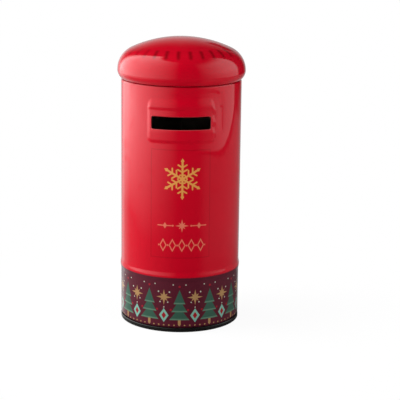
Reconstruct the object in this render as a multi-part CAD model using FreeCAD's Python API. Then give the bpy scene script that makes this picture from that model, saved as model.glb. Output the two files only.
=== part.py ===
import FreeCAD, Part
import math
import os

# A round tin money box in the shape of a street letter box, with a domed lid that lifts off.
# Millimetres, +Z up. The origin is the middle of the underside, and the coin slot faces -Y.
# Every piece is thin tinplate, so each one is a bent strip turned about the Z axis.

# Driving dimensions of the can
sheet = 0.25
body_radius = 33.25
wall_height = 136.5
shoulder_bend = 0.7
bead_level = 31.4
bead_width = 6.4
bead_rise = 0.38
fit_play = 0.05

# Driving dimensions of the coin slot and of the field pressed out around it
slot_drop = 19.8
slot_length = 31.7
slot_height = 7.0
slot_corner = 1.1
slot_lip = 0.9
slot_edge_round = 0.15
field_width = 38.8
field_height = 22.8
field_rise = 1.0
field_slope = 2.0
field_corner = 4.0
field_bend = 1.5

# Driving dimensions of the folded side seam down the back
lock_width = 3.2
lock_thickness = 0.75
lock_groove_width = 0.4
lock_groove_depth = 0.1
lock_end_gap = 1.5

# Driving dimensions of the base and of the double seam that holds it
seam_height = 2.3
seam_proud = 0.05
seam_play = 0.05
seam_corner = 0.35
hook_gap = 0.3
neck_in_height = 1.2
neck_in_bend = 0.8
recess_depth = 3.4
recess_bend = 0.6
base_step_radius = 25.0
base_step_width = 1.5
base_step = 0.7

# Driving dimensions of the neck that the lid slides over
neck_height = 7.0
neck_skirt = 6.5
neck_bend = 0.25
hem_length = 2.0
hem_gap = 0.1

# Driving dimensions of the lid
lid_overhang = 2.1
lid_under_drop = 4.5
lid_side_round = 13.0
lid_dome_radius = 66.2
lid_rest_gap = 0.15
lid_slip = 0.1
curl_round = 0.5
curl_leg = 1.8
sleeve_height = 8.5
sleeve_flange = 1.0
sleeve_bend = 0.3

axis_start = FreeCAD.Vector(0, 0, 0)
axis_up = FreeCAD.Vector(0, 0, 1)
same_point = 1e-6
on_face = 1e-3

# Outer faces of the seam's five layers, from the outside in
layer_pitch = sheet + seam_play
seam_radius = body_radius + seam_proud
wall_hook_radius = seam_radius - layer_pitch
cover_hook_radius = seam_radius - 2 * layer_pitch
necked_radius = seam_radius - 3 * layer_pitch
cover_radius = seam_radius - 4 * layer_pitch

# Lid levels: its rolled edge is flush with the wall, and rests just above it
lid_radius = body_radius + lid_overhang
under_turn = 2 * math.atan(lid_overhang / lid_under_drop)
lid_bottom = wall_height + lid_rest_gap
lid_widest_level = lid_bottom + curl_round * (1 - math.sin(under_turn)) + lid_under_drop

# Fit of the neck in the sleeve, the sleeve in the lid's curl, and the neck's skirt in the wall
curl_radius = body_radius - curl_round * (1 + math.cos(under_turn))
sleeve_radius = curl_radius - fit_play - sheet
neck_radius = sleeve_radius - lid_slip
skirt_radius = body_radius - sheet - fit_play
shoulder_level = wall_height - sheet - fit_play
skirt_bottom = shoulder_level - neck_skirt

# The slot's middle, and the plain stretch of wall that the field around it is pressed in
slot_level = wall_height - slot_drop
field_low = slot_level - field_height / 2 - 2 * field_slope
field_high = slot_level + field_height / 2 + 2 * field_slope


def at(radius, height):
    """Point of a section, which lies in the XZ plane."""
    return FreeCAD.Vector(radius, 0, height)


def straight_run(start, end):
    """A straight edge, or nothing where two arcs meet."""
    if start.isEqual(end, same_point):
        return []
    return [Part.LineSegment(start, end).toShape()]


def bent_edges(path):
    """Edges of straight runs joined by arcs.

    A path is a list of (radius from the axis, height, bend radius). Its two ends have no bend.
    """
    edges = []
    run_start = at(*path[0][:2])
    for before, here, after in zip(path, path[1:], path[2:]):
        corner = at(*here[:2])
        bend = here[2]
        back = (at(*before[:2]) - corner).normalize()
        onward = (at(*after[:2]) - corner).normalize()
        half_angle = back.getAngle(onward) / 2
        reach = bend / math.tan(half_angle)
        inward = (back + onward).normalize()
        bend_start = corner + back * reach
        bend_middle = corner + inward * (bend / math.sin(half_angle) - bend)
        bend_end = corner + onward * reach
        edges += straight_run(run_start, bend_start)
        edges.append(Part.Arc(bend_start, bend_middle, bend_end).toShape())
        run_start = bend_end
    return edges + straight_run(run_start, at(*path[-1][:2]))


def shifted(path, distance):
    """The path moved to the right of its travel, with each bend about the same centre."""
    points = [at(*corner[:2]) for corner in path]
    runs = [(end - start).normalize() for start, end in zip(points, points[1:])]
    sides = [FreeCAD.Vector(run.z, 0, -run.x) for run in runs]
    moved = [points[0] + sides[0] * distance]
    bends = [None]
    for index in range(1, len(points) - 1):
        first = sides[index - 1]
        second = sides[index]
        turns_right = runs[index].dot(first) > 0
        moved.append(points[index] + (first + second) * (distance / (1 + first.dot(second))))
        bends.append(path[index][2] - distance if turns_right else path[index][2] + distance)
    moved.append(points[-1] + sides[-1] * distance)
    bends.append(None)
    return [(corner.x, corner.z, bend) for corner, bend in zip(moved, bends)]


def turned_strip(path, thickness):
    """A strip turned about the axis. It lies on the right of the path, as the path travels."""
    other = shifted(path, thickness)
    edges = bent_edges(path) + bent_edges(other)
    edges += straight_run(at(*path[0][:2]), at(*other[0][:2]))
    edges += straight_run(at(*path[-1][:2]), at(*other[-1][:2]))
    section = Part.Face(Part.Wire(Part.__sortEdges__(edges)))
    return section.revolve(axis_start, axis_up, 360)


def bead_path(radius, level, width, rise):
    """Corners of a swelled ring made of four equal arcs, met from above."""
    half_width = width / 2
    slope = 2 * math.atan(rise / half_width)
    bend = half_width / (2 * math.sin(slope))
    reach = half_width - bend * math.tan(slope / 2)
    crest = radius + reach * math.tan(slope)
    return [(radius, level + reach, bend), (crest, level, bend), (radius, level - reach, bend)]


def outline_face(corners):
    """Flat face from a closed list of points."""
    return Part.Face(Part.makePolygon(corners + corners[:1]))


def distance_from_axis(point):
    return math.hypot(point.x, point.y)


def edges_on_drum(shape, radius, low, high):
    """Edges that lie on a drum of this radius, clear of its two ends."""
    found = []
    for edge in shape.Edges:
        box = edge.BoundBox
        points = edge.discretize(5)
        on_drum = all(abs(distance_from_axis(point) - radius) < on_face for point in points)
        if on_drum and box.ZMin > low and box.ZMax < high:
            found.append(edge)
    return found


def slanting_edges(field):
    """The four edges where a field's ends meet its sides."""
    found = []
    for edge in field.Edges:
        first = edge.Vertexes[0].Point
        last = edge.Vertexes[-1].Point
        climbs = abs(first.z - last.z) > field_slope
        leans = abs(distance_from_axis(first) - distance_from_axis(last)) > field_rise
        if climbs and leans:
            found.append(edge)
    return found


def drum_with_field(radius, width, height, corner, foot_bend, crest_bend):
    """Solid drum with the field pressed out of its front, rounded at its foot and its crest.

    The width is measured round the drum. The field's sloping sides run on into the drum, so
    that they cross its face cleanly.
    """
    inner = radius - field_rise
    outer = radius + field_rise
    wide = height / 2 + field_slope
    narrow = height / 2 - field_slope
    ring = outline_face([
        at(inner, slot_level - wide), at(outer, slot_level - narrow),
        at(outer, slot_level + narrow), at(inner, slot_level + wide),
    ]).revolve(axis_start, axis_up, 360)
    foot_angle = width / 2 / radius
    crest_angle = (width / 2 - field_slope) / radius
    foot = FreeCAD.Vector(math.sin(foot_angle), -math.cos(foot_angle), 0) * radius
    crest = FreeCAD.Vector(math.sin(crest_angle), -math.cos(crest_angle), 0) * outer
    near = foot * 2 - crest
    far = foot + (crest - foot).normalize() * radius
    wedge = outline_face([
        near, far, FreeCAD.Vector(-far.x, far.y, 0), FreeCAD.Vector(-near.x, near.y, 0),
    ]).extrude(axis_up * field_high)
    field = ring.common(wedge)
    field = field.makeFillet(corner, slanting_edges(field))
    drum = Part.makeCylinder(radius, field_high - field_low, at(0, field_low))
    form = drum.fuse(field).removeSplitter()
    form = form.makeFillet(foot_bend, edges_on_drum(form, radius, field_low, field_high))
    return form.makeFillet(crest_bend, edges_on_drum(form, outer, field_low, field_high))


def pressed_front():
    """The stretch of wall with the field: an outer drum less an inner one, a sheet smaller."""
    inner_radius = body_radius - sheet
    side_shift = sheet * math.tan(math.atan(field_rise / field_slope) / 2)
    outer = drum_with_field(body_radius, field_width, field_height,
                            field_corner, field_bend, field_bend)
    inner = drum_with_field(inner_radius, field_width * inner_radius / body_radius - 2 * side_shift,
                            field_height - 2 * side_shift,
                            field_corner - sheet, field_bend + sheet, field_bend - sheet)
    return outer.cut(inner)


def slot_block(margin):
    """Block with rounded corners through the front of the tin, larger than the slot by a margin."""
    length = slot_length + 2 * margin
    height = slot_height + 2 * margin
    start = FreeCAD.Vector(-length / 2, -2 * body_radius, slot_level - height / 2)
    block = Part.makeBox(length, 2 * body_radius, height, start)
    along = [edge for edge in block.Edges if abs(edge.tangentAt(edge.FirstParameter).y) > 0.5]
    return block.makeFillet(slot_corner + margin, along)


def back_strip(shape, width):
    """The part of a turned shape that lies within this width, down the middle of the back."""
    start = FreeCAD.Vector(-width / 2, 0, 0)
    return shape.common(Part.makeBox(width, 2 * body_radius, wall_height, start))


def make_body_wall():
    """Rolled wall: turned-in top edge, pressed front, bead, necked-in foot and seam hook."""
    hook_floor = 2 * sheet + seam_play
    hook_bend = sheet / 2 + seam_play
    hook_top = seam_height - sheet - hook_gap
    bead = bead_path(body_radius, bead_level, bead_width, bead_rise)
    neck_in_top = seam_height + neck_in_height
    top_path = [
        (neck_radius + neck_bend, wall_height, None),
        (body_radius, wall_height, shoulder_bend),
        (body_radius, field_high, None),
    ]
    foot_path = [
        (body_radius, field_low, None),
        *bead,
        (body_radius, neck_in_top, neck_in_bend),
        (necked_radius, seam_height, neck_in_bend),
        (necked_radius, hook_floor, hook_bend),
        (wall_hook_radius - sheet, hook_floor, hook_bend),
        (wall_hook_radius - sheet, hook_top, None),
    ]
    wall = turned_strip(top_path, sheet).fuse([pressed_front(), turned_strip(foot_path, sheet)])

    crest = body_radius + field_rise
    lip_outer = Part.makeCylinder(crest - sheet / 2, wall_height)
    lip_inner = Part.makeCylinder(crest - slot_lip, wall_height)
    lip = slot_block(sheet).common(lip_outer.cut(lip_inner))

    lock_high = skirt_bottom - lock_end_gap
    lock_low = neck_in_top + lock_end_gap
    lock_path = [(body_radius, lock_high, None), *bead, (body_radius, lock_low, None)]
    fold_path = shifted(lock_path, sheet / 2)
    fold = back_strip(turned_strip(fold_path, sheet / 2 + lock_thickness), lock_width)
    groove = back_strip(turned_strip(lock_path, lock_groove_depth), lock_groove_width)

    wall = wall.fuse([lip, fold]).cut([slot_block(0), groove]).removeSplitter()
    rim = [edge for edge in edges_on_drum(wall, crest, field_low, field_high)
           if abs(edge.CenterOfMass.z - slot_level) < slot_height / 2 + slot_edge_round]
    return wall.makeFillet(slot_edge_round, rim)


def make_base_end():
    """Pressed base: seam hook, flat standing ring, countersunk wall and stepped panel."""
    hook_inner = cover_hook_radius - sheet
    hook_bend = (seam_radius - hook_inner) / 2
    hook_end = 2 * sheet + seam_play + hook_gap
    wall_inner = cover_radius - sheet
    return turned_strip([
        (hook_inner, hook_end, None),
        (hook_inner, seam_height, hook_bend),
        (seam_radius, seam_height, hook_bend),
        (seam_radius, 0, seam_corner),
        (wall_inner, 0, seam_corner),
        (wall_inner, recess_depth, recess_bend),
        (base_step_radius + base_step_width, recess_depth, recess_bend),
        (base_step_radius, recess_depth - base_step, recess_bend),
        (0, recess_depth - base_step, None),
    ], sheet)


def make_neck_ring():
    """Inner collar: hemmed rim, straight neck, and a skirt under the wall's turned-in edge."""
    neck_top = wall_height + neck_height
    hem_bend = sheet + hem_gap / 2
    hem_radius = neck_radius - 2 * hem_bend
    return turned_strip([
        (hem_radius, neck_top - hem_length, None),
        (hem_radius, neck_top, hem_bend),
        (neck_radius, neck_top, hem_bend),
        (neck_radius, shoulder_level, neck_bend),
        (skirt_radius, shoulder_level, shoulder_bend - sheet - fit_play),
        (skirt_radius, skirt_bottom, None),
    ], sheet)


def make_lid_dome():
    """Drawn dome: shallow crown, round side, and an edge that turns under and curls in."""
    crown_centre_reach = lid_dome_radius - lid_side_round
    crown_turn = math.asin((lid_radius - lid_side_round) / crown_centre_reach)
    apex = lid_widest_level + lid_dome_radius - crown_centre_reach * math.cos(crown_turn)
    side_reach = lid_side_round * math.tan((math.pi / 2 - crown_turn) / 2)
    under_round = lid_under_drop / math.sin(under_turn)
    under_reach = under_round * math.tan(under_turn / 2)
    curl_corner = curl_radius + curl_round + curl_round * math.tan((math.pi / 2 - under_turn) / 2)
    return turned_strip([
        (0, apex, None),
        (lid_dome_radius * math.tan(crown_turn / 2), apex, lid_dome_radius),
        (lid_radius, lid_widest_level + side_reach, lid_side_round),
        (lid_radius, lid_widest_level - under_reach, under_round),
        (curl_corner, lid_bottom, curl_round),
        (curl_radius, lid_bottom, curl_round),
        (curl_radius, lid_bottom + curl_leg, None),
    ], sheet)


def make_lid_sleeve():
    """Plain ring inside the lid's curl that slides over the neck, flanged at its top."""
    sleeve_bottom = lid_bottom + sheet
    sleeve_top = sleeve_bottom + sleeve_height
    return turned_strip([
        (sleeve_radius, sleeve_bottom, None),
        (sleeve_radius, sleeve_top, sleeve_bend),
        (sleeve_radius + sheet + sleeve_flange, sleeve_top, None),
    ], sheet)


pieces = {
    "body_wall": make_body_wall,
    "base_end": make_base_end,
    "neck_ring": make_neck_ring,
    "lid_dome": make_lid_dome,
    "lid_sleeve": make_lid_sleeve,
}

os.makedirs("parts", exist_ok=True)
for name, make in pieces.items():
    piece = make()
    piece.exportStep(os.path.join("parts", name + ".step"))
    print(name, piece.isValid(), len(piece.Solids), round(piece.Volume, 2))
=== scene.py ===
import math

import bpy
import numpy as np
from bpy.props import FloatProperty, FloatVectorProperty, IntProperty, PointerProperty
from mathutils import Matrix, Vector


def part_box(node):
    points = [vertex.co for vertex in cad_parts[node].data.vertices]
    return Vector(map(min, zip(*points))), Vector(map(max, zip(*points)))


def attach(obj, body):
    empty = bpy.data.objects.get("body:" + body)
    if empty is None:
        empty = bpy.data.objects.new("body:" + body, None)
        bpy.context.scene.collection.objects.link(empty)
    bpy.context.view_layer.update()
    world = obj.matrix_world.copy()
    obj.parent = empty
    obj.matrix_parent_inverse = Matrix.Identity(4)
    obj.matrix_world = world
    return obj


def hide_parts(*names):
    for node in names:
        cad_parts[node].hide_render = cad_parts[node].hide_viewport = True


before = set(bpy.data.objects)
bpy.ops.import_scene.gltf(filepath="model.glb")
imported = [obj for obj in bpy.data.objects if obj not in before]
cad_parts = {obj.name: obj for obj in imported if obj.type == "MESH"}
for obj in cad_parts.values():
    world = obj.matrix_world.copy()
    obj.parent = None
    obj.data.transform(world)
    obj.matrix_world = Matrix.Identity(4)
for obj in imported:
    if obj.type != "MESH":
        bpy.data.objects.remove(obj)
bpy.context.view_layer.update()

bl_info = {
    "name": "Letter-box money tin",
    "version": (1, 0, 0),
    "blender": (4, 5, 0),
    "location": "3D View > Sidebar > Money tin",
    "description": "Dresses a tin money box: printed wall, domed lid, base and studio stage",
    "category": "Add Mesh",
}

PICTURE_WIDTH = 400
SENSOR_WIDTH = 36.0
MM = 1000.0
DEGREES = 180 / math.pi
BODY_RADIUS = 0.03325
WALL_MM = BODY_RADIUS * MM

# The field's corners are cut back by this share of its slopes
CORNER_SHARE = 0.25
# Plain wall that close rows and columns take in past a slope, in metres
SLOPE_MARGIN = 0.0004
# Where the ripples' sine is at the slot's level, as a share of its pitch
PUCKER_START = 0.17
# Where the hollow starts and where it is deepest, in reaches from the face
HOLLOW_SHARES = (0.2, 0.6)
# Angles round the wall between which the hollow sets in
HOLLOW_TURNS = (-0.35, 0.05)

# Print on the wall and the lid, and painted shade at the wall's top and foot: counts, and lengths
# in millimetres
ORNAMENT_SHIFT = 1.0
DOOR_LEVEL = 72.4
DOOR_HALF = (16.5, 29.9)
CRYSTAL_LEVEL = 86.5
CRYSTAL_REACH = 11.0
UPPER_ROW = 60.6
LOWER_ROW = 49.6
CHAIN_PITCH = 5.2
CHAIN_HALF = 13.1
# Width of the painted shadow at the wall's top, under the lid's edge
LID_SHADOW_BAND = 0.7
SLOT_RIM = 0.15
BAND_TOP = 31.2
# Height up to which the wall is painted black: painted shade in the crease above the base seam
SEAM_SHADE_TOP = 2.45
FRIEZE_REPEATS = 12
STROKES = 28
STROKE_RING = 28.25
STROKE_HALF = 2.2
STROKE_ROUND = 0.95
STROKE_FLOOR = 140.0
STROKE_START = math.radians(-3.4)
STROKE_LEAN = 0.22

# Lamps: name, place, width and height, and the point that they face, in metres
LAMPS = (
    ("left_lamp", (-0.75, -0.12, 0.46), 0.5, 0.6),
    ("right_lamp", (0.64, -0.38, 0.43), 0.5, 0.5),
    ("front_lamp", (0.05, -0.85, 0.2), 0.7, 0.5),
)
LAMP_TARGET = (0, 0, 0.1)

wall_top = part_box("body_wall")[1].z
lid_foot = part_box("lid_dome")[0].z


def linear(value):
    """Linear light of an 8-bit display value, by the usual display curve."""
    share = value / 255
    return share / 12.92 if share <= 0.04045 else ((share + 0.055) / 1.055) ** 2.4


def size(name, description, default):
    """A length that a user may change, in metres."""
    return FloatProperty(name=name, description=description, default=default, min=0.0,
                         unit="LENGTH", precision=5)


def amount(name, description, default):
    """A plain number that a user may change."""
    return FloatProperty(name=name, description=description, default=default, precision=4)


def angle(name, description, degrees):
    """An angle that a user may change, shown in degrees."""
    return FloatProperty(name=name, description=description, default=math.radians(degrees),
                         subtype="ANGLE")


def ink(name, description, red, green, blue):
    """A colour that a user may change, given as 8-bit display values and kept as linear light."""
    return FloatVectorProperty(name=name, description=description, subtype="COLOR", size=3,
                               min=0.0, max=1.0, default=[linear(v) for v in (red, green, blue)])


class TinSizes(bpy.types.PropertyGroup):
    """Sizes of the pressed wall and the lid. The outer limits come from the solids."""

    sheet: size("Sheet", "Thickness of the tinplate", 0.00025)
    body_radius: size("Body radius", "Outside of the plain wall", BODY_RADIUS)
    wall_height: size("Wall height", "Top of the wall, under the lid", wall_top)
    shoulder_bend: size("Shoulder bend", "Round of the wall's turned-in top edge", 0.0012)
    shoulder_inset: size("Shoulder inset", "How far the top edge turns in", 0.00122)
    bead_level: size("Bead level", "Height of the bead's crest", 0.0314)
    bead_width: size("Bead width", "Height of the bead from foot to foot", 0.0064)
    bead_rise: size("Bead rise", "How far the bead stands out of the wall", 0.00038)
    bead_bend: size("Bead bend", "Round of the bead's crest and feet", 0.0062)
    slot_drop: size("Slot drop", "Slot's middle below the wall's top", 0.0198)
    slot_length: size("Slot length", "Coin slot, end to end", 0.0317)
    slot_height: size("Slot height", "Coin slot, edge to edge", 0.007)
    slot_corner: size("Slot corner", "Round of the slot's corners", 0.0011)
    slot_lip: size("Slot lip", "Depth of the slot's turned-in edge", 0.0009)
    slot_round: size("Slot round", "Round of the slot's outer edge", 0.0004)
    field_width: size("Field width", "Raised field's face, side to side round the wall", 0.0338)
    field_over: size("Field over", "Face's upper edge above the slot's middle", 0.0088)
    field_under: size("Field under", "Face's lower edge below the slot's middle", 0.0091)
    field_rise: size("Field rise", "How far the field stands out of the wall", 0.00065)
    side_slope: size("Side slope", "Width of the slopes at the field's sides", 0.0027)
    top_slope: size("Top slope", "Width of the slope over the field", 0.0048)
    foot_slope: size("Foot slope", "Width of the slope under the field", 0.0022)
    brow_rise: size("Brow rise", "How far the face's upper edge is proud of the face", 0.00032)
    brow_width: size("Brow width", "How far down the face that reaches", 0.0022)
    droop: size("Droop", "How far the face falls back from the slot to its lower edge", 0.00016)
    pucker: size("Pucker", "Height of the pressing's ripples at the field's right side", 0.00016)
    pucker_pitch: size("Pucker pitch", "From one of those ripples to the next", 0.0064)
    hollow_depth: size("Hollow depth", "How far the wall is drawn in around the field", 0.00024)
    hollow_reach: size("Hollow reach", "How far out from the face that reaches", 0.0105)
    crease_depth: size("Crease depth", "How far the wall falls in at the right crease", 0.00013)
    crease_place: size("Crease place", "From the slot's middle round to that crease", 0.0247)
    crease_width: size("Crease width", "Width of that crease", 0.0005)
    crease_over: size("Crease over", "Its upper end above the slot's middle", 0.0083)
    crease_under: size("Crease under", "Its lower end below the slot's middle", 0.005)
    seam_height: size("Seam height", "Height of the base seam", 0.0023)
    neck_in: size("Neck-in", "How far the wall necks in above the base seam", 0.00085)
    neck_in_height: size("Neck-in height", "Taper of the wall above the base seam", 0.0012)
    neck_in_bend: size("Neck-in bend", "Round of that taper", 0.0008)
    wall_foot: size("Wall foot", "Lower end of the wall inside the seam", 0.0009)
    groove_half: size("Groove half", "Half width of the side seam's groove", 0.0002)
    groove_depth: size("Groove depth", "Depth of the side seam's groove", 0.0001)
    groove_low: size("Groove low", "Lower end of the side seam", 0.005)
    groove_high: size("Groove high", "Upper end of the side seam", 0.1282)
    lid_overhang: size("Lid overhang", "How far the lid swells past the wall", 0.0021)
    lid_under_drop: size("Lid under drop", "From the lid's widest line to its edge", 0.0045)
    lid_side_round: size("Lid side round", "Round of the lid's side", 0.013)
    lid_dome_radius: size("Lid dome radius", "Radius of the lid's crown", 0.0662)
    lid_bottom: size("Lid bottom", "Lowest line of the lid", lid_foot)
    curl_round: size("Curl round", "Round of the lid's curled edge", 0.0005)
    curl_leg: size("Curl leg", "Height of the curl's inner leg", 0.0018)


class TinInks(bpy.types.PropertyGroup):
    """Colours of the lacquers, inks and metals."""

    red: ink("Red", "Gloss red of the wall", 184, 1, 28)
    lid_red: ink("Lid red", "Gloss red of the lid", 181, 1, 27)
    stroke: ink("Stroke", "Dark red of the lid's strokes and the door line", 128, 0, 12)
    band: ink("Band", "Dark wine red below the bead", 80, 25, 38)
    gold: ink("Gold", "Gold ink of the snow crystal", 226, 158, 80)
    rose_gold: ink("Rose gold", "Paler gold ink of the ornamental rows", 222, 116, 92)
    fir: ink("Fir", "Dull green ink of the trees", 52, 84, 70)
    fir_edge: ink("Fir edge", "Paler green ink on the trees' tiers", 84, 116, 96)
    tan: ink("Tan", "Tan ink of the stars", 158, 122, 80)
    mint: ink("Mint", "Blue-green ink of the lozenges", 118, 168, 152)
    berry: ink("Berry", "Red ink of the berries", 144, 26, 38)
    snow: ink("Snow", "Off-white ink of the dots", 182, 180, 164)
    black: ink("Black", "Black lacquer of the base", 18, 17, 16)
    tin: ink("Tin", "Bare tinplate", 196, 192, 184)


class TinStage(bpy.types.PropertyGroup):
    """Camera, lamps and the room that the gloss mirrors."""

    camera_distance: size("Camera distance", "From the tin's axis to the camera", 0.77051)
    camera_height: size("Camera height", "Camera above the table", 0.25031)
    camera_tilt: angle("Camera tilt", "How far the camera looks down", 13.3648)
    camera_pan: angle("Camera pan", "How far the camera looks to its right", 0.8208)
    camera_roll: angle("Camera roll", "How far the camera leans", 0.7066)
    focal_pixels: amount("Focal length", "In pixels of the square picture", 1406.02)
    left_lamp: amount("Left lamp", "Power of the left lamp, in watts", 5.95)
    right_lamp: amount("Right lamp", "Power of the right lamp, in watts", 2.42)
    front_lamp: amount("Front lamp", "Power of the lamp at the front, in watts", 0.9)
    left_card: amount("Left card", "Brightness of the white card on the left", 2.6)
    left_table: amount("Left table", "Brightness of the table there, as a share of the card", 0.1)
    right_card: amount("Right card", "Brightness of the white card on the right", 1.3)
    right_table: amount("Right table", "Brightness of the table on the right", 0.2)
    back_card: amount("Back card", "Brightness of the backdrop", 0.36)
    gloom: amount("Gloom", "Brightness of the rest of the room", 0.007)
    sky: amount("Sky", "Brightness of the soft light from above", 0.45)
    table_way: size("Table way", "Way over which the room's light falls to the floor", 0.77)
    table_height: size("Table height", "How far it falls over that way", 0.25)
    floor_reach: size("Floor reach", "Radius of the floor", 0.9)
    floor_glow: amount("Floor glow", "Share of the floor's white that no shadow dims", 0.93)


class TinSettings(bpy.types.PropertyGroup):
    """All the settings of the tin."""

    sizes: PointerProperty(type=TinSizes)
    inks: PointerProperty(type=TinInks)
    stage: PointerProperty(type=TinStage)
    segments: IntProperty(name="Segments", description="Faces round the lid", default=256, min=32)


# Sections and surfaces

def unit(vector):
    """A vector divided by its own length."""
    return vector / np.linalg.norm(vector)


def bent_profile(corners, step):
    """Section points of straight runs joined by arcs.

    Each corner is (radius from the axis, height, bend). The arc at a corner touches both runs:
    its centre lies on the corner's bisector, bend / sin(half the corner's angle) from it, and
    the arc is cut into equal turns of about one step. Points that coincide are merged.
    """
    points = [np.array([corners[0][:2]])]
    for before, here, after in zip(corners, corners[1:], corners[2:]):
        corner = np.array(here[:2])
        back = unit(np.array(before[:2]) - corner)
        onward = unit(np.array(after[:2]) - corner)
        half = math.acos(np.clip(back @ onward, -1, 1)) / 2
        centre = corner + unit(back + onward) * here[2] / math.sin(half)
        spoke = corner + back * here[2] / math.tan(half) - centre
        sweep = math.copysign(math.pi - 2 * half, onward[0] * back[1] - onward[1] * back[0])
        turns = np.linspace(0, sweep, max(4, round(abs(sweep) / step)) + 1)
        across = np.array([-spoke[1], spoke[0]])
        points.append(centre + np.outer(np.cos(turns), spoke) + np.outer(np.sin(turns), across))
    points.append(np.array([corners[-1][:2]]))
    joined = np.vstack(points)
    apart = np.linalg.norm(np.diff(joined, axis=0), axis=1) > 1e-7
    return joined[np.concatenate(([True], apart))]


def spaced(*stretches):
    """Rising numbers from (start, end, step) stretches, each cut evenly into steps."""
    parts = [np.linspace(start, end, max(1, math.ceil((end - start) / step)) + 1)
             for start, end, step in stretches]
    joined = np.concatenate(parts)
    return joined[np.concatenate(([True], np.diff(joined) > 1e-9))]


def ease(low, high, value):
    """0 below low, 1 above high, and the cubic 3t^2 - 2t^3 between them."""
    share = np.clip((value - low) / (high - low), 0, 1)
    return share * share * (3 - 2 * share)


def turned(radius, height, turns):
    """Points at a radius and a height, turned about Z from the front (-Y) towards +X."""
    radius, height, turns = np.broadcast_arrays(radius, height, turns)
    return np.stack([radius * np.sin(turns), -radius * np.cos(turns), height], axis=-1)


def grid_faces(index):
    """Quads between the rows of a closed index grid, facing outwards where the rows go down."""
    right = np.roll(index, -1, axis=1)
    return np.stack([index[:-1], index[1:], right[1:], right[:-1]], axis=-1)


def numbered(points, start=0):
    """Vertex numbers of a grid of points, row by row."""
    rows, columns = points.shape[:2]
    return start + np.arange(rows * columns).reshape(rows, columns)


def add_object(name, data):
    """An object of this data in the scene."""
    holder = bpy.data.objects.new(name, data)
    bpy.context.scene.collection.objects.link(holder)
    return holder


def add_surface(name, vertices, faces, finishes):
    """A smooth mesh with these finishes, at the origin."""
    mesh = bpy.data.meshes.new(name)
    mesh.from_pydata(vertices.tolist(), [], faces)
    mesh.polygons.foreach_set("use_smooth", np.ones(len(mesh.polygons), bool))
    for finish in finishes:
        mesh.materials.append(finish)
    return add_object(name, mesh)


def add_piece(name, vertices, faces, finishes, thickness):
    """A sheet piece, thickened inwards; the second finish is its inside."""
    piece = add_surface(name, vertices, faces, finishes)
    solid = piece.modifiers.new("Sheet", "SOLIDIFY")
    solid.thickness = thickness
    solid.offset = -1
    solid.use_even_offset = True
    solid.material_offset = 1
    solid.material_offset_rim = 1
    return piece


def bead_corners(s):
    """Corners of the bead, met from above: straight flanks between a round crest and round feet.

    With h half the width, r the rise and b the bend, the tangent t of half the flanks' slope
    solves (4 b - r) t^2 - 2 h t + r = 0.
    """
    half, rise, bend = s.bead_width / 2, s.bead_rise, s.bead_bend
    square = 4 * bend - rise
    tangent = (half - math.sqrt(half * half - square * rise)) / square
    reach = half - bend * tangent
    crest = s.body_radius + reach * math.tan(2 * math.atan(tangent))
    return [(s.body_radius, s.bead_level + reach, bend), (crest, s.bead_level, bend),
            (s.body_radius, s.bead_level - reach, bend)]


def wall_section(s):
    """Radius and height down the wall: turned-in edge, plain wall, bead, necked-in foot.

    The plain wall's rows are close only around the field.
    """
    top = s.wall_height
    radius = s.body_radius
    slot_level = top - s.slot_drop
    shoulder = bent_profile([(radius - s.shoulder_inset, top), (radius, top, s.shoulder_bend),
                             (radius, top - 2 * s.shoulder_bend)], math.radians(5))
    bead_top = s.bead_level + s.bead_width
    low = slot_level - s.field_under
    high = slot_level + s.field_over
    foot = low - s.foot_slope - SLOPE_MARGIN
    brim = high + s.top_slope + SLOPE_MARGIN
    drawn = low - s.hollow_reach
    levels = spaced((bead_top, drawn, 0.006), (drawn, foot, 0.0007), (foot, low, 0.0002),
                    (low, high - s.brow_width, 0.0005), (high - s.brow_width, high, 0.0002),
                    (high, brim, 0.0003), (brim, top, 0.0005))
    levels = levels[1:][levels[1:] < top - 2.2 * s.shoulder_bend][::-1]
    plain = np.stack([np.full_like(levels, radius), levels], axis=-1)
    lower = bent_profile([
        (radius, bead_top), *bead_corners(s),
        (radius, s.seam_height + s.neck_in_height, s.neck_in_bend),
        (radius - s.neck_in, s.seam_height, s.neck_in_bend),
        (radius - s.neck_in, s.wall_foot),
    ], math.radians(2.5))
    return np.vstack([shoulder, plain, lower])


def wall_turns(s):
    """Angles round the wall, close at the field's sides, the crease and the side seam."""
    half = math.pi * s.body_radius
    side = s.field_width / 2
    foot = side + s.side_slope + SLOPE_MARGIN
    crease_left = s.crease_place - s.crease_width
    crease_right = s.crease_place + s.crease_width
    drawn = side + s.hollow_reach
    seam = half - 6 * s.groove_half
    arcs = spaced((0, side - s.slot_corner, 0.0008), (side - s.slot_corner, side, 0.0003),
                  (side, foot, 0.0002), (foot, crease_left, 0.0007),
                  (crease_left, crease_right, 0.00015), (crease_right, drawn, 0.0007),
                  (drawn, seam, 0.0019), (seam, half, s.groove_half / 2)) / s.body_radius
    return np.concatenate([-arcs[:0:-1], arcs[:-1]])


def face_swell(s, side, over, under, level):
    """How far the field stands out of the wall.

    The face's outline has its corners cut back by a fixed share of the slopes there. With d the
    distance outside the cut-back outline, measured in reaches of the slope on that side, the
    swell is the rise times one less an ease of d from that share to 1. The brow adds to the rise
    an ease over its width up to the face's upper edge, and the droop takes a straight fall below
    the slot from it.
    """
    reach = 1 - CORNER_SHARE
    slopes = ((side, s.side_slope), (over, s.top_slope), (under, s.foot_slope))
    outside = [np.maximum(past * reach / slope + CORNER_SHARE, 0) for past, slope in slopes]
    distance = np.hypot(outside[0], np.maximum(outside[1], outside[2]))
    brow = s.brow_rise * ease(s.field_over - s.brow_width, s.field_over, level)
    below = s.slot_height / 2 + 1.5 * s.slot_corner
    droop = s.droop * np.maximum(-level - below, 0) / (s.field_under - below)
    return (s.field_rise + brow - droop) * (1 - ease(CORNER_SHARE, 1, distance))


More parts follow.
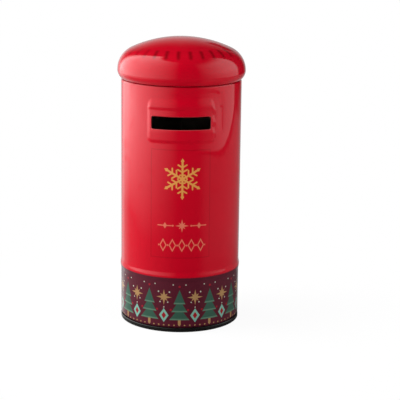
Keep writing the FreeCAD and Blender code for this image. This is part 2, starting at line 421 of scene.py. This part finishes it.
def slope_pucker(s, turns, side, past, level):
    """Ripples of the right slope: a sine up and down it, eased out at its edges and its ends."""
    slope = s.side_slope
    on_slope = ease(0, slope / 3, side) * ease(-1.3 * slope, -slope / 2, -side) * (turns > 0)
    on_side = on_slope * (1 - ease(-s.slot_corner, s.slot_corner, past))
    return s.pucker * np.sin((level / s.pucker_pitch + PUCKER_START) * (2 * math.pi)) * on_side


def drawn_hollow(s, turns, side, over, level):
    """How far the pressing draws the wall in over the field and to its right.

    It is an ease in and an ease out of the distance from the face, in reaches of the hollow. It
    eases out again down to the face's lower edge and round to the left.
    """
    away = np.hypot(np.maximum(side, 0), np.maximum(over, 0)) / s.hollow_reach
    start, deepest = HOLLOW_SHARES
    hollow = s.hollow_depth * ease(start, deepest, away) * (1 - ease(deepest, 1, away))
    return hollow * ease(-s.field_under, 0, level) * ease(*HOLLOW_TURNS, turns)


def upright_crease(s, turns, level):
    """The crease: the sharp right edge of a shallow fall that eases out to its other sides."""
    right = turns * s.body_radius - s.crease_place
    edge = s.crease_width / 2
    across = ease(-16 * edge, -edge, right) * ease(-edge, edge, -right)
    upper = ease(-4 * edge, 4 * edge, s.crease_over - level)
    lower = ease(-edge, 8 * edge, level + s.crease_under)
    return s.crease_depth * across * upper * lower


def field_swell(s, turns, level):
    """How far the wall stands out around the slot: the field and its ripples, less what falls in.

    Angles are from the slot's middle and levels are above it.
    """
    side = abs(turns) * s.body_radius - s.field_width / 2
    over = level - s.field_over
    under = -level - s.field_under
    raised = face_swell(s, side, over, under, level)
    pucker = slope_pucker(s, turns, side, np.maximum(over, under), level)
    hollow = drawn_hollow(s, turns, side, over, level)
    return raised + pucker - hollow - upright_crease(s, turns, level)


def slot_rings(s, outer, level):
    """Rings from a window's edge points to the slot, round its edge and in along its lip.

    Each edge point is pulled to the nearest point of the slot's core, a rectangle one corner
    radius smaller. From there it stands out by the corner radius, plus what is left of the edge
    round. The edge round is a quarter turn off the field's face, and the lip goes straight in.
    """
    core = np.array([s.slot_length / 2, s.slot_height / 2]) - s.slot_corner
    edge = outer[:, [0, 2]] - [0, level]
    nearest = np.clip(edge, -core, core)
    away = edge - nearest
    away /= np.linalg.norm(away, axis=1, keepdims=True)
    quarter = np.linspace(0, math.pi / 2, 7)
    stand = np.concatenate([s.slot_round * (1 - np.sin(quarter)), [0, 0]])
    drop = np.concatenate([s.slot_round * (1 - np.cos(quarter)),
                           np.linspace(s.slot_round, s.slot_lip, 3)[1:]])
    rim = nearest + away * (s.slot_corner + s.slot_round)
    flat = edge + (rim - edge) * np.array([1 / 3, 2 / 3])[:, None, None]
    lip = nearest + away * (s.slot_corner + stand)[:, None, None]
    plan = np.concatenate([flat, lip])
    depth = np.concatenate([[0, 0], drop])[:, None]
    face = np.sqrt((s.body_radius + s.field_rise) ** 2 - plan[..., 0] ** 2)
    return np.stack([plan[..., 0], depth - face, plan[..., 1] + level], axis=-1)


def wall_surface(s):
    """The wall's outer face: its section turned about Z, plus the field's swell, less the groove.

    A window of the grid at the slot is left out and closed by rings that end in the slot's lip.
    """
    section = wall_section(s)
    turns = wall_turns(s)
    level = section[:, 1:]
    slot_level = s.wall_height - s.slot_drop
    swell = field_swell(s, turns, level - slot_level)
    from_seam = (math.pi - abs(turns)) * s.body_radius
    groove = 1 - ease(s.groove_half * 0.5, s.groove_half * 1.5, from_seam)
    groove = groove * (level > s.groove_low) * (level < s.groove_high)
    points = turned(section[:, :1] + swell - s.groove_depth * groove, level, turns)
    index = numbered(points)

    high = s.slot_height / 2 + 1.4 * s.slot_corner
    rows = np.flatnonzero(abs(level[:, 0] - slot_level) < high)
    columns = np.flatnonzero(abs(turns) * s.body_radius < s.field_width / 2 + 1e-6)
    top, bottom, left, right = rows[0], rows[-1], columns[0], columns[-1]
    window = np.concatenate([index[top, left:right], index[top:bottom, right],
                             index[bottom, right:left:-1], index[bottom:top:-1, left]])
    quads = grid_faces(index)
    kept = np.ones(quads.shape[:2], bool)
    kept[top:bottom, left:right] = False

    rings = slot_rings(s, points.reshape(-1, 3)[window], slot_level)
    slot_quads = grid_faces(np.vstack([window[None], numbered(rings, index.size)]))
    faces = np.concatenate([quads[kept], slot_quads.reshape(-1, 4)])
    used, packed = np.unique(faces, return_inverse=True)
    vertices = np.concatenate([points.reshape(-1, 3), rings.reshape(-1, 3)])[used]
    return vertices, packed.reshape(-1, 4).tolist()


def lid_section(s):
    """Radius and height down the lid: crown, round side, turned-under edge and inner curl."""
    radius = s.body_radius + s.lid_overhang
    under_turn = 2 * math.atan(s.lid_overhang / s.lid_under_drop)
    widest = s.lid_bottom + s.curl_round * (1 - math.sin(under_turn)) + s.lid_under_drop
    curl = s.body_radius - s.curl_round * (1 + math.cos(under_turn))
    crown_reach = s.lid_dome_radius - s.lid_side_round
    crown_turn = math.asin((radius - s.lid_side_round) / crown_reach)
    apex = widest + s.lid_dome_radius - crown_reach * math.cos(crown_turn)
    side_reach = s.lid_side_round * math.tan((math.pi / 2 - crown_turn) / 2)
    under_round = s.lid_under_drop / math.sin(under_turn)
    under_reach = under_round * math.tan(under_turn / 2)
    curl_corner = curl + s.curl_round * (1 + math.tan((math.pi / 2 - under_turn) / 2))
    return bent_profile([
        (0, apex),
        (s.lid_dome_radius * math.tan(crown_turn / 2), apex, s.lid_dome_radius),
        (radius, widest + side_reach, s.lid_side_round),
        (radius, widest - under_reach, under_round),
        (curl_corner, s.lid_bottom, s.curl_round),
        (curl, s.lid_bottom, s.curl_round),
        (curl, s.lid_bottom + s.curl_leg),
    ], math.radians(1.5))


def lid_surface(s, segments):
    """The lid's outer face: its section turned about Z, closed by a fan at the apex."""
    section = lid_section(s)
    turns = np.arange(segments) * (2 * math.pi / segments)
    rings = turned(section[1:, :1], section[1:, 1:], turns)
    index = numbered(rings, 1)
    fan = np.stack([np.zeros(segments, int), index[0], np.roll(index[0], -1)], axis=-1)
    apex = [[0, 0, section[0, 1]]]
    vertices = np.concatenate([apex, rings.reshape(-1, 3)])
    return vertices, fan.tolist() + grid_faces(index).reshape(-1, 4).tolist()


# Shader expressions

class Term:
    """A socket of a node tree. Arithmetic with terms and numbers adds Math nodes."""

    def __init__(self, nodes, socket):
        self.nodes = nodes
        self.socket = socket

    def __add__(self, other):
        return self.nodes.math("ADD", self, other)

    __radd__ = __add__

    def __sub__(self, other):
        return self.nodes.math("SUBTRACT", self, other)

    def __rsub__(self, other):
        return self.nodes.math("SUBTRACT", other, self)

    def __mul__(self, other):
        return self.nodes.math("MULTIPLY", self, other)

    __rmul__ = __mul__

    def __truediv__(self, other):
        return self.nodes.math("DIVIDE", self, other)

    def __rtruediv__(self, other):
        return self.nodes.math("DIVIDE", other, self)

    def __neg__(self):
        return self * -1.0

    def __abs__(self):
        return self.nodes.math("ABSOLUTE", self)

    def __or__(self, other):
        """Union of two shapes: the lesser distance."""
        return self.nodes.math("MINIMUM", self, other)

    def __and__(self, other):
        """Overlap of two shapes: the greater distance."""
        return self.nodes.math("MAXIMUM", self, other)


class Nodes:
    """A node tree being filled. Distances are in millimetres, less than zero inside a shape."""

    def __init__(self, tree):
        self.tree = tree
        tree.nodes.clear()

    def node(self, kind, settings=None, inputs=None, output=0):
        """Add a node of this type: its settings first, then a value or a link for each input."""
        node = self.tree.nodes.new(kind)
        for key, value in (settings or {}).items():
            setattr(node, key, value)
        for key, value in (inputs or {}).items():
            if isinstance(value, Term):
                self.tree.links.new(value.socket, node.inputs[key])
            else:
                node.inputs[key].default_value = value
        return None if output is None else Term(self, node.outputs[output])

    def math(self, operation, *values, clamp=False):
        return self.node("ShaderNodeMath", {"operation": operation, "use_clamp": clamp},
                         dict(enumerate(values)))

    def mix(self, share, first, second):
        """The first colour where share is 0, the second where it is 1."""
        first, second = (c if isinstance(c, Term) else (*c, 1.0) for c in (first, second))
        return self.node("ShaderNodeMix", {"data_type": "RGBA"}, {0: share, 6: first, 7: second},
                         output=2)

    def ease(self, low, high, value):
        """0 below low, 1 above high, smooth between them; it falls where low is above high."""
        return self.node("ShaderNodeMapRange", {"interpolation_type": "SMOOTHSTEP"},
                         {0: value, 1: low, 2: high})

    def ramp(self, low, high, value):
        """0 at low and 1 at high, straight between them and level outside."""
        return self.node("ShaderNodeMapRange", None, {0: value, 1: low, 2: high})

    def hypot(self, a, b):
        return self.math("SQRT", a * a + b * b)

    def grey(self, value):
        """A number as a grey colour."""
        return self.node("ShaderNodeCombineXYZ", None, {0: value, 1: value, 2: value})

    def split(self, vector):
        return [self.node("ShaderNodeSeparateXYZ", None, {0: vector}, axis) for axis in "XYZ"]


class Finish(Nodes):
    """A material being made."""

    def __init__(self, name):
        self.material = bpy.data.materials.new(name)
        self.material.use_nodes = True
        super().__init__(self.material.node_tree)
        self.place = self.node("ShaderNodeTexCoord", output="Object")
        self.x, self.y, self.z = [axis * MM for axis in self.split(self.place)]

    def noise(self, scale, detail=2.0, stretch=(1, 1, 1)):
        """Soft noise about 0.5, this many cells to the metre, squeezed along an axis."""
        place = self.node("ShaderNodeVectorMath", {"operation": "MULTIPLY"},
                          {0: self.place, 1: stretch})
        return self.node("ShaderNodeTexNoise", None,
                         {"Vector": place, "Scale": scale, "Detail": detail})

    def bump(self, height, depth):
        """Normals of a surface that rises by this depth, in metres, where the height is 1."""
        return self.node("ShaderNodeBump", None,
                         {"Strength": 1.0, "Distance": depth, "Height": height})

    def inside(self, distance, blur=0.16):
        """1 inside a shape and 0 outside it, with a soft edge this wide."""
        return self.math("MULTIPLY_ADD", distance, -1 / blur, 0.5, clamp=True)

    def repeat(self, value, pitch, start=0.0):
        """Signed distance from the nearest of a row of marks, one pitch apart."""
        shifted = value - start
        return shifted - self.math("ROUND", shifted / pitch) * pitch

    def turn(self):
        """Angle round the tin from the front, positive towards +X."""
        return self.math("ARCTAN2", self.x, -self.y)

    def disc(self, x, y, radius):
        """A disc about the origin."""
        return self.hypot(x, y) - radius

    def block(self, x, y, half_width, half_height):
        """An upright rectangle about the origin."""
        return (abs(x) - half_width) & (abs(y) - half_height)

    def bar(self, x, y, half_length, radius):
        """A round-ended bar along x."""
        return self.hypot((abs(x) - half_length) & 0.0, y) - radius

    def twig(self, x, y, start, lean, length, radius):
        """A round-ended bar that leaves (start, 0) at an angle from x."""
        run = x - start
        along = run * math.cos(lean) + y * math.sin(lean)
        beside = y * math.cos(lean) - run * math.sin(lean)
        return self.bar(along - length / 2, beside, length / 2, radius)

    def lozenge(self, x, y, half_width, half_height):
        """A rectangle on its point: |x| / half width + |y| / half height is 1 on its edge."""
        slant = half_width * half_height / math.hypot(half_width, half_height)
        return (abs(x) / half_width + abs(y) / half_height - 1.0) * slant

    def star(self, x, y, reach, waist):
        """Eight rays: upright ones of full reach, and diagonal ones of two thirds."""
        lean = math.sqrt(0.5)
        u = (x + y) * lean
        v = (x - y) * lean
        long_rays = self.lozenge(x, y, waist, reach) | self.lozenge(x, y, reach, waist)
        short = reach * 2 / 3
        return long_rays | self.lozenge(u, v, waist, short) | self.lozenge(u, v, short, waist)

    def tier(self, x, y, low, high, half_width):
        """A triangle that stands on a level."""
        height = high - low
        cosine = height / math.hypot(height, half_width)
        side = (abs(x) - (high - y) * (half_width / height)) * cosine
        return side & (low - y)

    def crystal(self, x, y, reach):
        """A six-armed snow crystal: one arm with its twigs, folded round in sixths."""
        sixth = math.pi / 3
        spread = self.repeat(self.math("ARCTAN2", x, y), sixth)
        far = self.hypot(x, y)
        out = far * self.math("COSINE", spread)
        beside = abs(far * self.math("SINE", spread))
        arm = self.bar(out - reach * 0.46, beside, reach * 0.42, 0.55)
        tip = self.lozenge(out - reach * 0.9, beside, 1.5, 0.95)
        inner = self.twig(out, beside, reach * 0.34, sixth, reach * 0.26, 0.42)
        outer = self.twig(out, beside, reach * 0.58, sixth, reach * 0.24, 0.42)
        ring = abs(out - reach * 0.2) - 0.36
        return arm | tip | inner | outer | ring

    def surface(self, shader):
        self.node("ShaderNodeOutputMaterial", None, {"Surface": shader}, output=None)
        return self.material

    def glossy_sheet(self, colour, roughness, metallic, normal, coat, coat_roughness):
        """Close the material: lacquer or ink on tinplate under a clear varnish."""
        return self.surface(self.node("ShaderNodeBsdfPrincipled", None, {
            "Base Color": colour, "Roughness": roughness, "Metallic": metallic,
            "Specular IOR Level": 0.03, "Coat Weight": coat, "Coat Roughness": coat_roughness,
            "Coat IOR": 1.5, "Normal": normal}))


def varnished(f, colour, metallic=0.0):
    """Varnish over a print: faint tone drift, orange peel, and dulled, rubbed patches."""
    drift = f.noise(45.0, 3.0)
    peel = f.noise(900.0, 1.0)
    rubbed = f.ease(0.56, 0.74, f.noise(120.0, 5.0))
    toned = f.mix(drift * 0.1, colour, [0.0] * 3)
    roughness = 0.3 + 0.12 * drift + 0.08 * rubbed
    coat = 0.95 - 0.2 * rubbed
    return f.glossy_sheet(toned, roughness, metallic, f.bump(peel, 5e-7), coat, 0.025)


def frieze_layers(f, arc, inks):
    """Shapes of the band's frieze, each with its ink, from the lowest layer to the top one.

    Each repeat has a fir tree, and midway a star over a lozenge, with loose dots.
    """
    pitch = 2 * math.pi * WALL_MM / FRIEZE_REPEATS
    z = f.z
    near = f.repeat(arc, pitch)
    mid = f.repeat(arc, pitch, pitch / 2)
    tiers = [(7.0, 14.4, 5.6), (11.6, 19.0, 4.4), (16.2, 24.4, 3.2)]
    shapes = [f.tier(near, z, *t) for t in tiers]
    trees = shapes[0] | shapes[1] | shapes[2]
    edges = [shape & (z - (t[0] + 0.8)) for shape, t in zip(shapes, tiers)]
    snow_line = edges[0] | edges[1] | edges[2]
    trunk = f.block(near, z - 5.7, 0.75, 1.5)
    star = f.star(mid, z - 20.0, 4.4, 0.95)
    lozenge = f.lozenge(mid, z - 9.6, 2.7, 4.0)
    heart = f.lozenge(mid, z - 9.6, 1.3, 2.0)
    berries = f.disc(abs(mid) - 3.9, z - 12.8, 0.62) | f.disc(near, z - 26.2, 0.62)
    beads = f.disc(f.repeat(arc, pitch / 6), z - 4.0, 0.42)
    flakes = f.disc(abs(near) - 5.6, z - 23.0, 0.42) | f.disc(abs(near) - 3.5, z - 27.2, 0.36)
    flakes = flakes | f.disc(abs(near) - 6.5, z - 17.2, 0.36) | f.disc(mid, z - 14.3, 0.36)
    return [(trunk, inks.tan), (trees, inks.fir), (snow_line, inks.fir_edge), (star, inks.tan),
            (lozenge, inks.mint), (heart, inks.berry), (berries, inks.berry), (beads, inks.tan),
            (flakes, inks.snow)]


def row_shapes(f, arc):
    """Two thin ornamental rows on the door: a star between lines, and lozenges with dots."""
    upper = f.z - UPPER_ROW
    lower = f.z - LOWER_ROW
    middle = arc - ORNAMENT_SHIFT
    beside = abs(middle)
    star = f.star(beside, upper, 3.7, 0.8)
    lines = f.bar(beside - 9.4, upper, 4.0, 0.26)
    knots = f.lozenge(beside - 9.4, upper, 1.15, 1.7) | f.disc(beside - 5.0, upper, 0.5)
    across = f.repeat(middle, CHAIN_PITCH)
    frames = abs(f.lozenge(across, lower, 1.7, 3.1)) - 0.3
    dots = f.disc(f.repeat(middle, CHAIN_PITCH, CHAIN_PITCH / 2), lower, 0.5)
    chain = (frames | dots) & (beside - CHAIN_HALF)
    return star | lines | knots | chain


def printed_red(s, inks):
    """The wall: gloss red with a door's line and gold ornaments, and a wine-red band below.

    Painted shade darkens the top edge under the lid and blackens the foot above the base seam; the
    slot's edge is paler, part bare tin and part painted highlight.
    """
    f = Finish("printed_red")
    arc = f.turn() * WALL_MM
    door = f.block(arc, f.z - DOOR_LEVEL, *DOOR_HALF)
    door_line = f.inside(abs(door) - 0.22, 0.4)
    colour = f.mix(door_line * 0.45, inks.red, inks.stroke)
    crystal = f.inside(f.crystal(arc - ORNAMENT_SHIFT, f.z - CRYSTAL_LEVEL, CRYSTAL_REACH))
    rows = f.inside(row_shapes(f, arc))
    colour = f.mix(crystal, colour, inks.gold)
    colour = f.mix(rows, colour, inks.rose_gold)
    band = inks.band
    for shape, tint in frieze_layers(f, arc, inks):
        band = f.mix(f.inside(shape), band, tint)
    # Painted shadow: the wall's top band, under the lid's edge, is darkened towards the stroke ink
    lid_shadow = f.inside(s.wall_height * MM - LID_SHADOW_BAND - f.z, 0.4)
    colour = f.mix(lid_shadow * 0.6, colour, inks.stroke)
    colour = f.mix(f.inside(f.z - BAND_TOP, 0.6), colour, band)
    # Painted shade: the wall is blackened in the crease just above the base seam
    colour = f.mix(f.inside(f.z - SEAM_SHADE_TOP, 0.3), colour, inks.black)
    slot_level = (s.wall_height - s.slot_drop) * MM
    slot = f.block(f.x, f.z - slot_level, s.slot_length / 2 * MM, s.slot_height / 2 * MM)
    # The slot's edge is mixed a little towards bare tin: partly its bare cut edge, partly a
    # painted highlight on that edge
    rim = f.inside(slot - SLOT_RIM, 0.3) * f.ease(0.0, -20.0, f.y)
    colour = f.mix(rim * 0.12, colour, inks.tin)
    metallic = crystal * 0.25 + rows * 0.2
    return varnished(f, colour, metallic)


def lid_red(inks):
    """The lid: gloss red with a ring of dark strokes, which are painted fainter on the left, where
    the lid's highlight falls.

    A stroke leans by the sine of twice its turn, and they all end where the lid turns under.
    """
    f = Finish("lid_red")
    far = f.hypot(f.x, f.y)
    turn = f.turn()
    lean = STROKE_LEAN * f.math("SINE", 2 * turn) * (far / STROKE_RING - 1)
    spread = f.repeat(turn + lean, 2 * math.pi / STROKES, STROKE_START)
    beside = far * f.math("SINE", spread)
    strokes = f.bar(far - STROKE_RING, beside, STROKE_HALF, STROKE_ROUND) & (STROKE_FLOOR - f.z)
    degrees = turn * DEGREES
    # Painted highlight: the strokes fade on the left, where the bright reflection lies over them
    highlight_wash = f.ease(-25, -50, degrees) * f.ease(-150, -100, degrees)
    shade = f.inside(strokes, 1.3) * (0.9 - 0.5 * highlight_wash)
    return varnished(f, f.mix(shade, inks.lid_red, inks.stroke))


def bare_tinplate(inks, metallic=0.6):
    """Bright tinplate: fine rolling lines round the tin, soft grain and dull patches."""
    f = Finish("bare_tinplate")
    lines = f.noise(2600.0, 2.0, (0.02, 0.02, 1.0))
    cloud = f.noise(70.0, 4.0)
    colour = f.mix(cloud * 0.5, inks.tin, [c * 0.62 for c in inks.tin])
    roughness = 0.2 + 0.16 * lines + 0.12 * cloud
    return f.glossy_sheet(colour, roughness, metallic, f.bump(lines, 2e-6), 0.0, 0.1)


def black_lacquer(inks):
    """Black lacquer on the base, rubbed to bare metal in places where the tin stands."""
    f = Finish("black_lacquer")
    grain = f.noise(1400.0, 3.0)
    cloud = f.noise(160.0, 4.0)
    standing = f.ease(0.35, 0.05, f.z) * f.ease(0.5, 0.66, f.noise(700.0, 4.0))
    colour = f.mix(cloud * 0.5, inks.black, [c * 2.2 for c in inks.black])
    colour = f.mix(standing, colour, inks.tin)
    roughness = 0.26 + 0.12 * cloud + 0.08 * grain
    return f.glossy_sheet(colour, roughness, standing, f.bump(grain, 1e-6), 0.9, 0.08)


# Stage

def left_light(n, stage, azimuth, elevation):
    """A tall white card on the left: it brightens towards the back and fades into the table."""
    reach = (n.ramp(-5, -105, azimuth) * n.ease(-151, -138, azimuth - 0.2 * elevation)
             * n.ease(72, 65, elevation))
    lift = 1.4 * n.ease(-70, -125, azimuth)
    aft = n.ease(-112, -134, azimuth)
    table = stage.left_table * (1 + aft) * n.ease(-40, -22, elevation)
    fade = 0.5 * n.ease(-118, -140, azimuth) * n.ease(0, -8, elevation)
    card = (1 - stage.left_table) * n.ramp(-15.05, -10.45, elevation - lift) * (1 - fade)
    return reach * (table + card) * stage.left_card


def right_light(n, stage, azimuth, elevation):
    """A dimmer card on the right: a dark gap parts its round-cornered edge from the table."""
    bend = n.ramp(60, 125, azimuth)
    over = elevation - (2.15 * bend * bend * bend - 11.38)
    reach = n.ramp(30, 88, azimuth) * n.ease(124, 118, azimuth) * n.ease(63, 41, elevation)
    card = reach * n.ease(-0.03, 0.06, over) * (0.6 + 0.4 * n.ease(-8, 15, elevation))
    under_gap = n.ease(-0.2, -0.9, over / (0.25 + 0.75 * bend))
    past_card = 0.5 * n.ease(134, 143, azimuth) * n.ease(-8.6, -9.6, elevation)
    table = ((under_gap & past_card) * n.ease(32, 57, azimuth) * n.ease(170, 150, azimuth)
             * (0.4 + 0.6 * n.ease(-17, -14.8, elevation)))
    return card * stage.right_card + table * stage.right_table


def back_light(n, stage, azimuth, elevation):
    """A backdrop with a dark slit: it fades upwards, and its left is brighter low down."""
    low_left = n.ease(-178, -164, azimuth) * n.ease(15, 0, elevation)
    reach = n.ease(146, 164, azimuth) + n.ease(-136, -150, azimuth) * (1 + 0.8 * low_left)
    rise = elevation + 0.7 * (180 - abs(azimuth))
    slit = (n.ease(5, 2.8, abs(elevation - 18.8)) * n.ease(162, 165, azimuth)
            * n.ease(174, 171.5, azimuth))
    fade = n.ease(48, 6, rise) * (1 + 0.5 * n.ease(-9, 8, elevation))
    return reach * fade * (1 - slit) * stage.back_card


def room_light(n, stage, azimuth, elevation):
    """How bright the studio is in a direction: two cards, the table, a backdrop and gloom.

    Angles come in radians and are turned to degrees here. Azimuth is 0 at the front (-Y) and
    rises towards +X.
    """
    where = (n, stage, azimuth * DEGREES, elevation * DEGREES)
    return left_light(*where) + right_light(*where) + back_light(*where) + stage.gloom


def light_path(n):
    """Shares of camera rays and of mirrored or transmitted rays."""
    rays = ("Is Camera Ray", "Is Glossy Ray", "Is Transmission Ray")
    camera, glossy, passed = [n.node("ShaderNodeLightPath", output=ray) for ray in rays]
    return camera, n.math("ADD", glossy, passed, clamp=True)


def floor_finish(stage):
    """White floor: it keeps the tin's shadow, and gloss mirrors it as bright as the room is.

    A floor point at turn t and radius r takes the room's light at an azimuth a, found in two
    steps from a - t = wall radius / r * sin(a / 2). The tangent of its fall below level is the
    table's height over r * cos(a - t) + the table's way - 2 * wall radius * cos(a / 2).
    """
    f = Finish("white_floor")
    camera, mirrored = light_path(f)
    turn = f.turn()
    far = f.hypot(f.x, f.y)
    aside = WALL_MM / far
    lean = aside * f.math("SINE", turn * 0.5)
    lean = aside * f.math("SINE", (turn + lean) * 0.5)
    azimuth = turn + lean
    outset = WALL_MM * f.math("COSINE", azimuth * 0.5)
    way = far * f.math("COSINE", lean) + stage.table_way * MM - 2 * outset
    room = room_light(f, stage, azimuth, -f.math("ARCTANGENT", stage.table_height * MM / way))
    near = f.ease(165.0, 75.0, far)
    paper = f.noise(60.0, 2.0)
    pale = f.mix(paper * 0.06, [0.86] * 3, [0.8] * 3)
    # Painted shadow: the colour the floor throws back onto the tin is darker near the tin; the
    # camera doesn't see it
    thrown = f.mix(f.ease(90.0, 300.0, far), [0.45] * 3, [0.8] * 3)
    matt = f.node("ShaderNodeBsdfDiffuse", None, {"Color": f.mix(camera, thrown, pale)})
    glow = f.node("ShaderNodeEmission", None, {"Color": (1, 1, 1, 1)})
    mirror = f.node("ShaderNodeEmission", None, {"Color": f.grey(room)})
    share = camera * (1 - (1 - stage.floor_glow) * near)
    seen = f.node("ShaderNodeMixShader", None, {0: share, 1: matt, 2: glow})
    return f.surface(f.node("ShaderNodeMixShader", None, {0: mirrored, 1: seen, 2: mirror}))


def light_room(stage):
    """The room around the tin: white to the camera, cards and gloom to all else, and a soft sky.

    The sky lights the tin from above, and gloss doesn't mirror it.
    """
    world = bpy.data.worlds.new("studio")
    world.use_nodes = True
    bpy.context.scene.world = world
    n = Nodes(world.node_tree)
    x, y, z = n.split(n.node("ShaderNodeTexCoord", output="Generated"))
    elevation = n.math("ARCSINE", z)
    room = room_light(n, stage, n.math("ARCTAN2", x, -y), elevation)
    camera, mirrored = light_path(n)
    sky = stage.sky * n.ease(30, 65, elevation * DEGREES) * (1 - mirrored)
    colour = n.mix(camera, n.grey(room + sky), (1, 1, 1))
    shown = n.node("ShaderNodeBackground", None, {"Color": colour})
    n.node("ShaderNodeOutputWorld", None, {"Surface": shown}, output=None)


def add_floor(stage):
    """A round floor: rings that widen by a steady ratio, each turned about Z."""
    sides = 96
    turns = np.arange(sides) * (2 * math.pi / sides)
    rings = np.concatenate([[0.001], np.geomspace(0.02, stage.floor_reach, 14)])
    points = turned(rings[:, None], 0.0, turns)
    index = numbered(points)
    faces = grid_faces(index).reshape(-1, 4).tolist() + [index[0].tolist()]
    floor = add_surface("floor", points.reshape(-1, 3), faces, [floor_finish(stage)])


def add_lamp(name, power, place, width, height):
    """A soft lamp that lights the tin but isn't mirrored in it."""
    lamp = bpy.data.lights.new(name, "AREA")
    lamp.shape = "RECTANGLE"
    lamp.size = width
    lamp.size_y = height
    lamp.energy = power
    holder = add_object(name, lamp)
    aim = Vector(LAMP_TARGET) - Vector(place)
    turn = aim.to_track_quat("-Z", "Y").to_matrix().to_4x4()
    holder.matrix_world = Matrix.Translation(place) @ turn
    holder.visible_glossy = False
    holder.visible_camera = False


def add_camera(stage):
    """The camera: panned about Z, tilted down, then rolled about its own line of sight."""
    tilt, pan, roll = stage.camera_tilt, stage.camera_pan, stage.camera_roll
    forward = Vector((math.sin(pan) * math.cos(tilt), math.cos(pan) * math.cos(tilt),
                      -math.sin(tilt)))
    level = Vector((math.cos(pan), -math.sin(pan), 0))
    upright = level.cross(forward)
    side = math.cos(roll) * level + math.sin(roll) * upright
    up = math.cos(roll) * upright - math.sin(roll) * level
    camera = bpy.data.cameras.new("camera")
    camera.sensor_width = SENSOR_WIDTH
    camera.lens = stage.focal_pixels / PICTURE_WIDTH * SENSOR_WIDTH
    camera.clip_start = 0.01
    holder = add_object("camera", camera)
    turn = Matrix((side, up, -forward)).transposed().to_4x4()
    place = (0, -stage.camera_distance, stage.camera_height)
    holder.matrix_world = Matrix.Translation(place) @ turn
    bpy.context.scene.camera = holder


# Operators

class MONEYTIN_OT_wall(bpy.types.Operator):
    """Make the printed wall with its coin slot, bead and necked-in foot"""

    bl_idname = "moneytin.wall"
    bl_label = "Printed wall"

    def execute(self, context):
        tin = context.scene.money_tin
        vertices, faces = wall_surface(tin.sizes)
        finishes = [printed_red(tin.sizes, tin.inks), bare_tinplate(tin.inks, 1.0)]
        piece = add_piece("printed_wall", vertices, faces, finishes, tin.sizes.sheet)
        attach(piece, "tin")
        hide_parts("body_wall")
        return {"FINISHED"}


class MONEYTIN_OT_lid(bpy.types.Operator):
    """Make the domed lid with its ring of strokes and its curled edge"""

    bl_idname = "moneytin.lid"
    bl_label = "Domed lid"

    def execute(self, context):
        tin = context.scene.money_tin
        vertices, faces = lid_surface(tin.sizes, tin.segments)
        finishes = [lid_red(tin.inks), bare_tinplate(tin.inks)]
        piece = add_piece("domed_lid", vertices, faces, finishes, tin.sizes.sheet)
        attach(piece, "lid")
        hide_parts("lid_dome")
        return {"FINISHED"}


class MONEYTIN_OT_rings(bpy.types.Operator):
    """Finish the base and the two bare rings under the lid"""

    bl_idname = "moneytin.rings"
    bl_label = "Base and rings"

    def execute(self, context):
        inks = context.scene.money_tin.inks
        tinplate = bare_tinplate(inks)
        finishes = {"base_end": black_lacquer(inks), "neck_ring": tinplate, "lid_sleeve": tinplate}
        for name, finish in finishes.items():
            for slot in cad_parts[name].material_slots:
                slot.material = finish
        return {"FINISHED"}


class MONEYTIN_OT_stage(bpy.types.Operator):
    """Set up the floor, the room, the lamps and the camera"""

    bl_idname = "moneytin.stage"
    bl_label = "Studio stage"

    def execute(self, context):
        stage = context.scene.money_tin.stage
        context.scene.view_settings.view_transform = "Standard"
        add_floor(stage)
        light_room(stage)
        for name, place, width, height in LAMPS:
            add_lamp(name, getattr(stage, name), place, width, height)
        add_camera(stage)
        return {"FINISHED"}


class MONEYTIN_PT_panel(bpy.types.Panel):
    """Steps and settings of the money tin"""

    bl_idname = "MONEYTIN_PT_panel"
    bl_label = "Money tin"
    bl_space_type = "VIEW_3D"
    bl_region_type = "UI"
    bl_category = "Money tin"

    def draw(self, context):
        tin = context.scene.money_tin
        for step in STEPS:
            self.layout.operator(step.bl_idname)
        for group in (tin.sizes, tin.inks, tin.stage):
            column = self.layout.box().column()
            for name in group.__annotations__:
                column.prop(group, name)


STEPS = (MONEYTIN_OT_wall, MONEYTIN_OT_lid, MONEYTIN_OT_rings, MONEYTIN_OT_stage)
CLASSES = (TinSizes, TinInks, TinStage, TinSettings, *STEPS, MONEYTIN_PT_panel)


def register():
    for kind in CLASSES:
        bpy.utils.register_class(kind)
    bpy.types.Scene.money_tin = PointerProperty(type=TinSettings)


def unregister():
    del bpy.types.Scene.money_tin
    for kind in reversed(CLASSES):
        bpy.utils.unregister_class(kind)


def plain(corners):
    return [[float(value) for value in corner] for corner in corners]


def main():
    register()
    bpy.ops.moneytin.wall()
    bpy.ops.moneytin.lid()
    bpy.ops.moneytin.rings()
    bpy.ops.moneytin.stage()
    bpy.context.view_layer.update()


if __name__ == "__main__":
    main()
